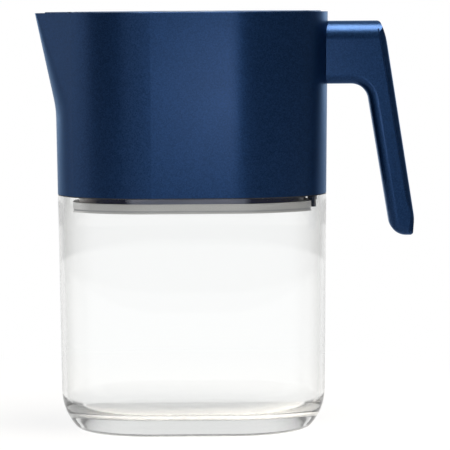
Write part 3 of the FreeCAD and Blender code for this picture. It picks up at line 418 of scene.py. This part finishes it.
def make_jug(end_span=0.02485, arc_steps=72, corner_steps=18):
    """The jug's profile carried round its plan: two half-round ends joined by flat sides."""
    plan = []
    for side in (1, -1):
        for step in range(arc_steps + 1):
            angle = math.pi * (step / arc_steps - side / 2)
            plan.append((side * end_span, math.cos(angle), math.sin(angle)))
    made = bmesh.new()
    profile = rounded_profile(jug_profile, corner_steps)
    rings = []
    for (out, height), _ in profile:
        rings.append([made.verts.new((x + out * along, out * across, height)) for x, along, across in plan])
    count = len(plan)
    for lower, upper in zip(rings, rings[1:]):
        for index in range(count):
            ahead = (index + 1) % count
            made.faces.new((lower[index], lower[ahead], upper[ahead], upper[index]))
    made.faces.new(rings[0][::-1])
    made.faces.new(rings[-1])
    for face in made.faces:
        face.smooth = True
    for ring, (_, sharp) in zip(rings, profile):
        for index in range(count):
            made.edges.get((ring[index], ring[(index + 1) % count])).smooth = not sharp
    mesh = bpy.data.meshes.new("jug_clear")
    made.to_mesh(mesh)
    made.free()
    mesh.materials.append(finishes["clear_plastic"])
    piece = bpy.data.objects.new("jug_clear", mesh)
    scene.collection.objects.link(piece)
    piece.visible_shadow = False
    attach(piece, "pitcher")
    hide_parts("jug")


make_jug()


# Floor, light and camera


def lamp(name, place, aim, width, height, power, colour=(1.0, 1.0, 1.0)):
    """A soft rectangular lamp aimed at a point."""
    data = bpy.data.lights.new(name, "AREA")
    data.shape = "RECTANGLE"
    data.size, data.size_y = width, height
    data.energy, data.color = power, colour
    made = bpy.data.objects.new(name, data)
    made.location = place
    made.rotation_euler = (Vector(aim) - Vector(place)).to_track_quat("-Z", "Y").to_euler()
    made.visible_camera = False
    made.visible_transmission = False
    scene.collection.objects.link(made)


def make_floor(radius=1.3, drop=0.0003, shadow_reach=0.12, white_reach=0.45):
    """Plain pale floor that keeps a faint shadow near the object and is white further out."""
    bpy.ops.mesh.primitive_circle_add(vertices=96, radius=radius, fill_type="NGON", location=(0, 0, -drop))
    floor = bpy.context.object
    floor.name = "floor"
    made = Finish("floor_paper")
    grain = made.noise(220.0, 3.0)
    made.colours(grain, (0.9, 0.9, 0.9), (0.93, 0.93, 0.93))
    made.roughness(grain, 0.85, 0.95)
    made.set(Specular_IOR_Level=0.1)
    distance = made.add("ShaderNodeVectorMath", {"operation": "LENGTH"})
    made.join(made.place(), distance.inputs[0])
    white = made.spread(distance.outputs["Value"], 0.86, 1.0, shadow_reach, white_reach)
    rays = made.add("ShaderNodeLightPath")
    through = made.spread(rays.outputs["Is Transmission Ray"], 0.0, 0.75, 0.0, 1.0)
    mirrored = made.together(rays.outputs["Is Camera Ray"], rays.outputs["Is Glossy Ray"], "MAXIMUM")
    share = made.together(white, made.together(mirrored, through, "MAXIMUM"))
    glow = made.add("ShaderNodeEmission", Strength=1.0)
    mix = made.add("ShaderNodeMixShader")
    made.join(share, mix.inputs["Fac"])
    made.join(made.shader.outputs["BSDF"], mix.inputs[1])
    made.join(glow.outputs["Emission"], mix.inputs[2])
    made.join(mix.outputs["Shader"], made.tree.nodes["Material Output"].inputs["Surface"])
    floor.data.materials.append(made.material)


def make_world(front_light=0.18, back_light=1.0):
    """White background, with light that is stronger from behind than from the front."""
    world = bpy.data.worlds.new("studio")
    scene.world = world
    world.use_nodes = True
    tree = world.node_tree
    background = tree.nodes["Background"]
    direction = tree.nodes.new("ShaderNodeTexCoord")
    parts = tree.nodes.new("ShaderNodeSeparateXYZ")
    ramp = tree.nodes.new("ShaderNodeMapRange")
    ramp.inputs["From Min"].default_value = 0.5
    ramp.inputs["From Max"].default_value = 0.97
    ramp.inputs["To Min"].default_value = front_light
    ramp.inputs["To Max"].default_value = back_light
    tree.links.new(direction.outputs["Generated"], parts.inputs["Vector"])
    tree.links.new(parts.outputs["Y"], ramp.inputs["Value"])
    rays = tree.nodes.new("ShaderNodeLightPath")
    largest = tree.nodes.new("ShaderNodeMath")
    largest.operation = "MAXIMUM"
    tree.links.new(rays.outputs["Is Camera Ray"], largest.inputs[0])
    tree.links.new(ramp.outputs["Result"], largest.inputs[1])
    tree.links.new(largest.outputs["Value"], background.inputs["Strength"])
    background.inputs["Color"].default_value = (1, 1, 1, 1)


def make_camera(place=(0.02115, -2.150, 0.2820), look_down=4.0, lean=-0.374):
    """Camera at the photograph's place, found from the body's outline in a frame of 450 pixels."""
    frame_pixels, focal_pixels = 450.0, 3327.0
    data = bpy.data.cameras.new("camera")
    data.sensor_width = 36.0
    data.lens = focal_pixels / frame_pixels * data.sensor_width
    data.clip_start, data.clip_end = 0.05, 50.0
    made = bpy.data.objects.new("camera", data)
    made.location = place
    tilt = Euler((math.radians(90.0 - look_down), 0, 0)).to_matrix()
    roll = Euler((0, 0, math.radians(lean))).to_matrix()
    made.rotation_euler = (tilt @ roll).to_euler()
    scene.collection.objects.link(made)
    scene.camera = made


make_floor()
make_world()
body_middle, handle_top, warm_white = (0.0, 0.0, 0.18), (0.12, 0.0, 0.26), (1.0, 0.93, 0.82)
lamp("front_box", (0.037, -0.5, 0.2), body_middle, 0.094, 0.1, 0.28)
lamp("fill_box", (-0.54, -1.5, 0.35), body_middle, 0.84, 0.68, 1.9)
lamp("left_box", (-1.486, 0.204, 0.4), body_middle, 1.1, 0.75, 3.2)
lamp("left_rim", (-0.72, 1.15, 0.37), body_middle, 0.4, 0.42, 1.1)
lamp("right_rim", (0.72, 1.15, 0.37), body_middle, 0.4, 0.42, 0.85)
lamp("top_box", (0.13, -0.14, 0.95), handle_top, 0.3, 0.48, 13.0, warm_white)
make_camera()
scene.view_settings.view_transform = "Standard"
